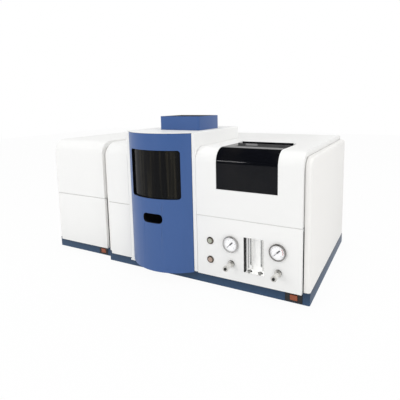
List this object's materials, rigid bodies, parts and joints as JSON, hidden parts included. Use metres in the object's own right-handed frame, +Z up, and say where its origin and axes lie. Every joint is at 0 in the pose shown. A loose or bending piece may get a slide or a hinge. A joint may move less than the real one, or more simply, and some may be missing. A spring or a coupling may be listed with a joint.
{
  "type": "atomic absorption spectrometer",
  "caption": "Bench flame atomic absorption spectrometer in white and blue, with a bowed burner door, a smoked lamp lid, gas controls and a separate power unit on its left.",
  "frame": {"origin": "On the bench, under the middle of the box around both units.", "axes": "+X to the operator's right along the front, +Y from the front to the rear, +Z up."},
  "size_m": [1.438, 0.8464, 0.7395],
  "materials": {
    "white_paint": "satin",
    "blue_paint": "satin",
    "slate_paint": "satin",
    "smoked_acrylic": "gloss",
    "steel": "brushed",
    "chrome": "polished",
    "titanium": "machined",
    "cast_grey": "satin",
    "black_plastic": "matte",
    "orange_plastic": "gloss",
    "green_plastic": "gloss",
    "red_plastic": "gloss",
    "dial_face": "satin",
    "clear_acrylic": "gloss",
    "chamber_polymer": "satin",
    "lamp_glass": "clear"
  },
  "bodies": {
    "instrument": {"main_base": "slate_paint", "left_side_panel": "white_paint", "right_side_panel": "white_paint", "left_hood": "white_paint", "left_front_panel": "white_paint", "right_hood": "white_paint", "control_panel": "white_paint", "rear_top_cover": "white_paint", "rear_panel": "white_paint", "optical_bench": "cast_grey", "column_housing": "white_paint", "column_cap": "white_paint", "chimney": "blue_paint", "door_hinge_rod": "steel", "lid_hinge_rod": "steel", "turret_stand": "cast_grey", "burner_lift_post": "steel", "drip_tray": "steel", "power_rocker_bezel": "black_plastic", "ignition_button_ring": "chrome", "stop_button_ring": "chrome", "air_gauge": "dial_face", "fuel_gauge": "dial_face", "flowmeter_block": "clear_acrylic", "fan_frame": "black_plastic", "monochromator_housing": "cast_grey", "power_inlet": "black_plastic", "companion_base": "slate_paint", "companion_left_side_panel": "white_paint", "companion_right_side_panel": "white_paint", "companion_hood": "white_paint", "companion_front_panel": "white_paint", "companion_rear_panel": "white_paint", "companion_rocker_bezel": "black_plastic"},
    "door": {"burner_door": "blue_paint", "door_window": "smoked_acrylic"},
    "lid": {"lamp_lid": "smoked_acrylic"},
    "main_rocker": {"power_rocker": "orange_plastic"},
    "side_rocker": {"companion_rocker": "orange_plastic"},
    "ignition": {"ignition_button": "green_plastic"},
    "stop": {"stop_button": "red_plastic"},
    "air_needle": {"air_gauge_needle": "black_plastic"},
    "fuel_needle": {"fuel_gauge_needle": "black_plastic"},
    "left_float": {"flowmeter_float_left": "red_plastic"},
    "right_float": {"flowmeter_float_right": "red_plastic"},
    "left_flow_knob": {"flowmeter_knob_left": "black_plastic"},
    "right_flow_knob": {"flowmeter_knob_right": "black_plastic"},
    "air_regulator": {"air_regulator_knob": "chrome"},
    "fuel_regulator": {"fuel_regulator_knob": "chrome"},
    "turret": {"lamp_turret": "cast_grey", "hollow_cathode_lamp_1": "lamp_glass", "hollow_cathode_lamp_2": "lamp_glass", "hollow_cathode_lamp_3": "lamp_glass", "hollow_cathode_lamp_4": "lamp_glass"},
    "height_knob": {"burner_height_knob": "black_plastic"},
    "lift": {"burner_carriage": "cast_grey", "mixing_chamber": "chamber_polymer", "nebuliser": "steel"},
    "burner": {"burner_head": "titanium"},
    "fan": {"fan_rotor": "black_plastic"}
  },
  "joints": [
    {"name": "door_hinge", "type": "hinge", "parent": "instrument", "child": "door", "pos_m": [-0.1295, -0.35475, 0.05], "axis": [0, 0, -1], "range_deg": [0, 100]},
    {"name": "lid_hinge", "type": "hinge", "parent": "instrument", "child": "lid", "pos_m": [0.4558, -0.10175, 0.614], "axis": [-1, 0, 0], "range_deg": [0, 95]},
    {"name": "power_rocker_pivot", "type": "hinge", "parent": "instrument", "child": "main_rocker", "pos_m": [0.654, -0.33325, 0.0275], "axis": [-1, 0, 0], "range_deg": [0, 12]},
    {"name": "companion_rocker_pivot", "type": "hinge", "parent": "instrument", "child": "side_rocker", "pos_m": [-0.392, -0.29825, 0.0275], "axis": [-1, 0, 0], "range_deg": [0, 12]},
    {"name": "ignition_button_press", "type": "slide", "parent": "instrument", "child": "ignition", "axis": [0, 1, 0], "range_m": [0, 0.0025], "stiffness_N_per_m": 400},
    {"name": "stop_button_press", "type": "slide", "parent": "instrument", "child": "stop", "axis": [0, 1, 0], "range_m": [0, 0.0025], "stiffness_N_per_m": 400},
    {"name": "air_gauge_sweep", "type": "hinge", "parent": "instrument", "child": "air_needle", "pos_m": [0.3865, -0.35825, 0.2105], "axis": [0, 1, 0], "range_deg": [0, 270], "stiffness_Nm_per_rad": 0.0001},
    {"name": "fuel_gauge_sweep", "type": "hinge", "parent": "instrument", "child": "fuel_needle", "pos_m": [0.5922, -0.35825, 0.2105], "axis": [0, 1, 0], "range_deg": [0, 270], "stiffness_Nm_per_rad": 0.0001},
    {"name": "left_float_rise", "type": "slide", "parent": "instrument", "child": "left_float", "axis": [0, 0, 1], "range_m": [0, 0.09]},
    {"name": "right_float_rise", "type": "slide", "parent": "instrument", "child": "right_float", "axis": [0, 0, 1], "range_m": [0, 0.09]},
    {"name": "left_flow_valve", "type": "hinge", "parent": "instrument", "child": "left_flow_knob", "pos_m": [0.4715, -0.35045, 0.108], "axis": [0, 1, 0], "range_deg": [0, 720]},
    {"name": "right_flow_valve", "type": "hinge", "parent": "instrument", "child": "right_flow_knob", "pos_m": [0.5185, -0.35045, 0.108], "axis": [0, 1, 0], "range_deg": [0, 720]},
    {"name": "air_regulator_turn", "type": "hinge", "parent": "instrument", "child": "air_regulator", "pos_m": [0.3885, -0.35375, 0.125], "axis": [0, 1, 0], "range_deg": [0, 1080]},
    {"name": "fuel_regulator_turn", "type": "hinge", "parent": "instrument", "child": "fuel_regulator", "pos_m": [0.595, -0.35375, 0.125], "axis": [0, 1, 0], "range_deg": [0, 1080]},
    {"name": "turret_index", "type": "hinge", "parent": "instrument", "child": "turret", "pos_m": [0.3975, -0.15175, 0.414], "axis": [1, 0, 0], "continuous": true},
    {"name": "burner_lift_slide", "type": "slide", "parent": "instrument", "child": "lift", "axis": [0, 0, 1], "range_m": [-0.012, 0.012]},
    {"name": "height_knob_turn", "type": "hinge", "parent": "instrument", "child": "height_knob", "pos_m": [0.153, -0.17175, 0.1033], "axis": [0, 1, 0], "range_deg": [-120, 120]},
    {"name": "burner_swivel", "type": "hinge", "parent": "lift", "child": "burner", "pos_m": [0.073, -0.15175, 0.415], "axis": [0, 0, 1], "range_deg": [0, 90]},
    {"name": "fan_spin", "type": "hinge", "parent": "instrument", "child": "fan", "pos_m": [0.519, 0.39945, 0.45], "axis": [0, 1, 0], "continuous": true}
  ],
  "couplings": [
    {"joint": "height_knob_turn", "follows": "burner_lift_slide", "rad_per_m": 166.67}
  ]
}
